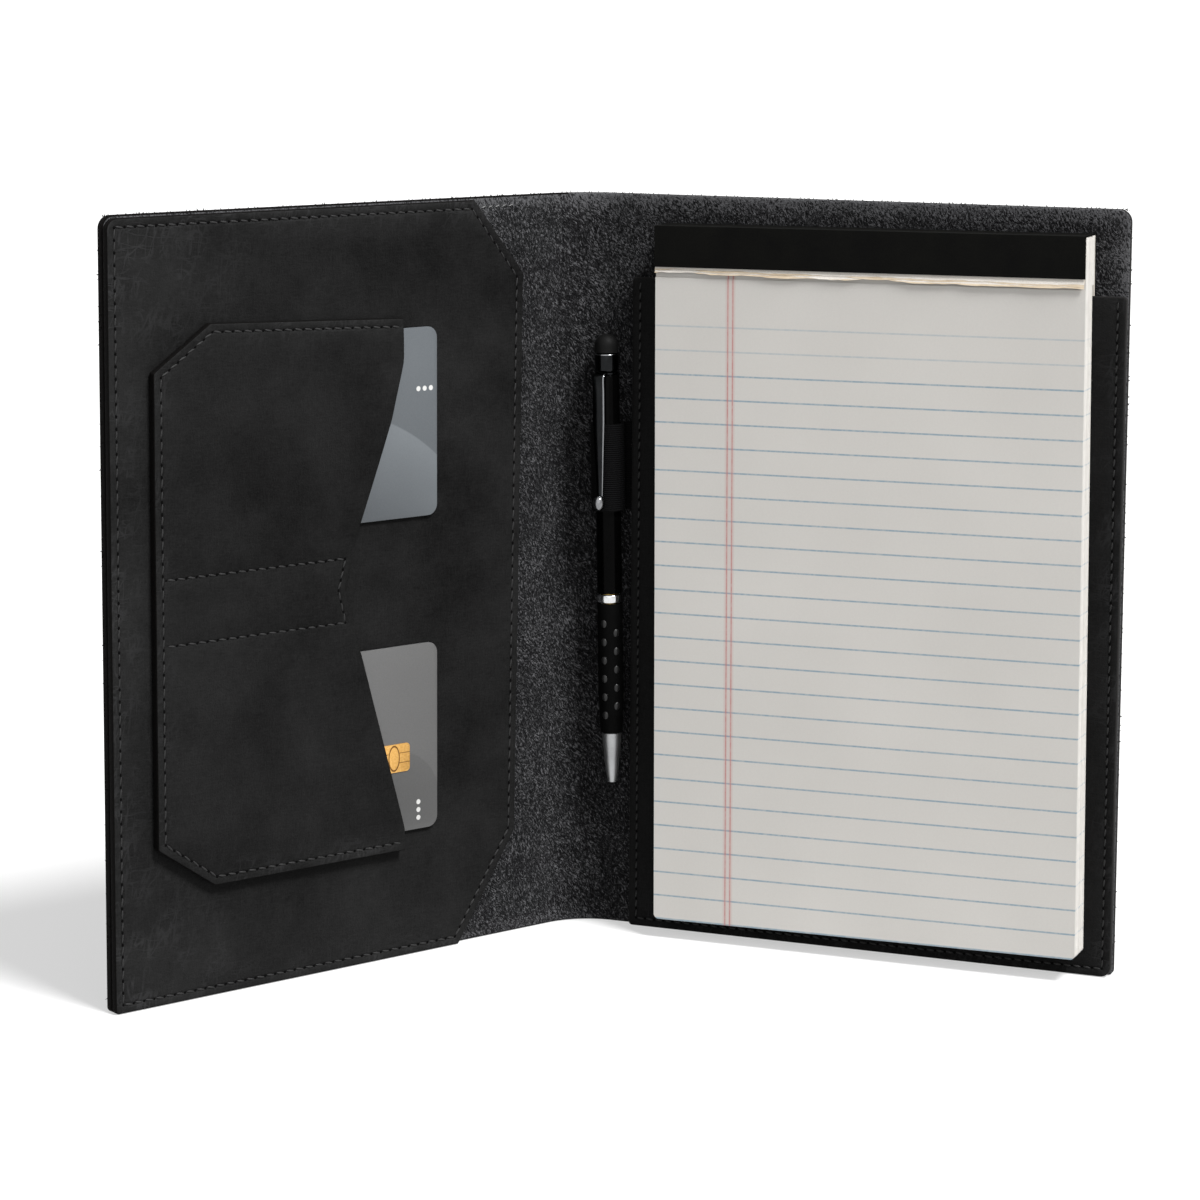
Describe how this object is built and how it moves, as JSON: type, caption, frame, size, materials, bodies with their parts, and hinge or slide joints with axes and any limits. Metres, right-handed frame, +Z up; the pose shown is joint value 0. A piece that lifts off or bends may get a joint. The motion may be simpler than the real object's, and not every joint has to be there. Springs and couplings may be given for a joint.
{
  "type": "notepad case",
  "caption": "Open leather notepad case standing on its edges, with a top-bound ruled pad, a card pocket with cards, and a twist pen in an elastic loop.",
  "frame": {"origin": "middle of the footprint, on the surface that the case stands on", "axes": "+Z up along the bend; +X across the case towards the pad's cover; the covers open towards -Y"},
  "size_m": [0.284, 0.091, 0.2173],
  "materials": {
    "hide": "smooth outside, suede inside",
    "panel_leather": "smooth, fine grain",
    "thread": "waxed polyester",
    "elastic": "ribbed woven elastic",
    "board": "grey-brown chipboard",
    "paper": "matte",
    "stub_paper": "torn and glued",
    "tape": "satin",
    "upper_card_plastic": "satin",
    "lower_card_plastic": "satin",
    "chip_gold": "satin",
    "chrome": "polished",
    "pen_black": "gloss",
    "stylus_rubber": "matte",
    "grip_rubber": "matte",
    "cone_silver": "satin",
    "sleeve_brass": "plain",
    "refill_steel": "plain"
  },
  "bodies": {
    "right_cover": {"cover_right": "hide", "pad_panel": "panel_leather", "pad_panel_thread": "thread", "pen_loop": "elastic"},
    "spine": {"spine": "hide"},
    "left_cover": {"cover_left": "hide", "lining": "panel_leather", "lining_thread": "thread", "card_pocket": "panel_leather", "pocket_thread": "thread", "divider_thread": "thread"},
    "pad": {"backing_board": "board", "paper_block": "paper", "torn_stubs": "stub_paper", "binding_tape": "tape"},
    "top_sheet": {"top_sheet": "paper"},
    "upper_card": {"upper_card": "upper_card_plastic"},
    "lower_card": {"lower_card": "lower_card_plastic", "card_chip": "chip_gold"},
    "pen": {"pen_barrel": "pen_black", "pen_collar": "chrome", "stylus_dome": "stylus_rubber", "pen_clip": "chrome", "centre_ring": "chrome"},
    "pen_lower": {"pen_grip": "grip_rubber", "nose_cone": "cone_silver", "twist_sleeve": "sleeve_brass"},
    "refill": {"pen_refill": "refill_steel"}
  },
  "joints": [
    {"name": "right_fold", "type": "hinge", "parent": "right_cover", "child": "spine", "pos_m": [0.00541, 0.04223, 0.108], "axis": [0, 0, -1], "range_deg": [-59, 31]},
    {"name": "left_fold", "type": "hinge", "parent": "spine", "child": "left_cover", "pos_m": [-0.01282, 0.03834, 0.108], "axis": [0, 0, -1], "range_deg": [-59, 31]},
    {"name": "pad_slide", "type": "slide", "parent": "right_cover", "child": "pad", "axis": [0, 0, 1], "range_m": [0, 0.19]},
    {"name": "sheet_turn", "type": "hinge", "parent": "pad", "child": "top_sheet", "pos_m": [0.07232, -0.01056, 0.19505], "axis": [-0.8571, 0.515, -0.0096], "range_deg": [0, 175]},
    {"name": "upper_card_slide", "type": "slide", "parent": "left_cover", "child": "upper_card", "axis": [0.8572, 0.515, 0], "range_m": [0, 0.05]},
    {"name": "lower_card_slide", "type": "slide", "parent": "left_cover", "child": "lower_card", "axis": [0.8572, 0.515, 0], "range_m": [0, 0.05]},
    {"name": "pen_slide", "type": "slide", "parent": "right_cover", "child": "pen", "axis": [-0.018, 0.0108, 0.9998], "range_m": [0, 0.1]},
    {"name": "pen_twist", "type": "hinge", "parent": "pen", "child": "pen_lower", "pos_m": [0.00759, 0.03536, 0.09869], "axis": [0.018, -0.0108, -0.9998], "range_deg": [0, 180]},
    {"name": "refill_slide", "type": "slide", "parent": "pen", "child": "refill", "axis": [0.018, -0.0108, -0.9998], "range_m": [0, 0.0025]}
  ],
  "couplings": [
    {"joint": "left_fold", "follows": "right_fold", "ratio": 1},
    {"joint": "pen_twist", "follows": "refill_slide", "rad_per_m": 1256.6}
  ]
}
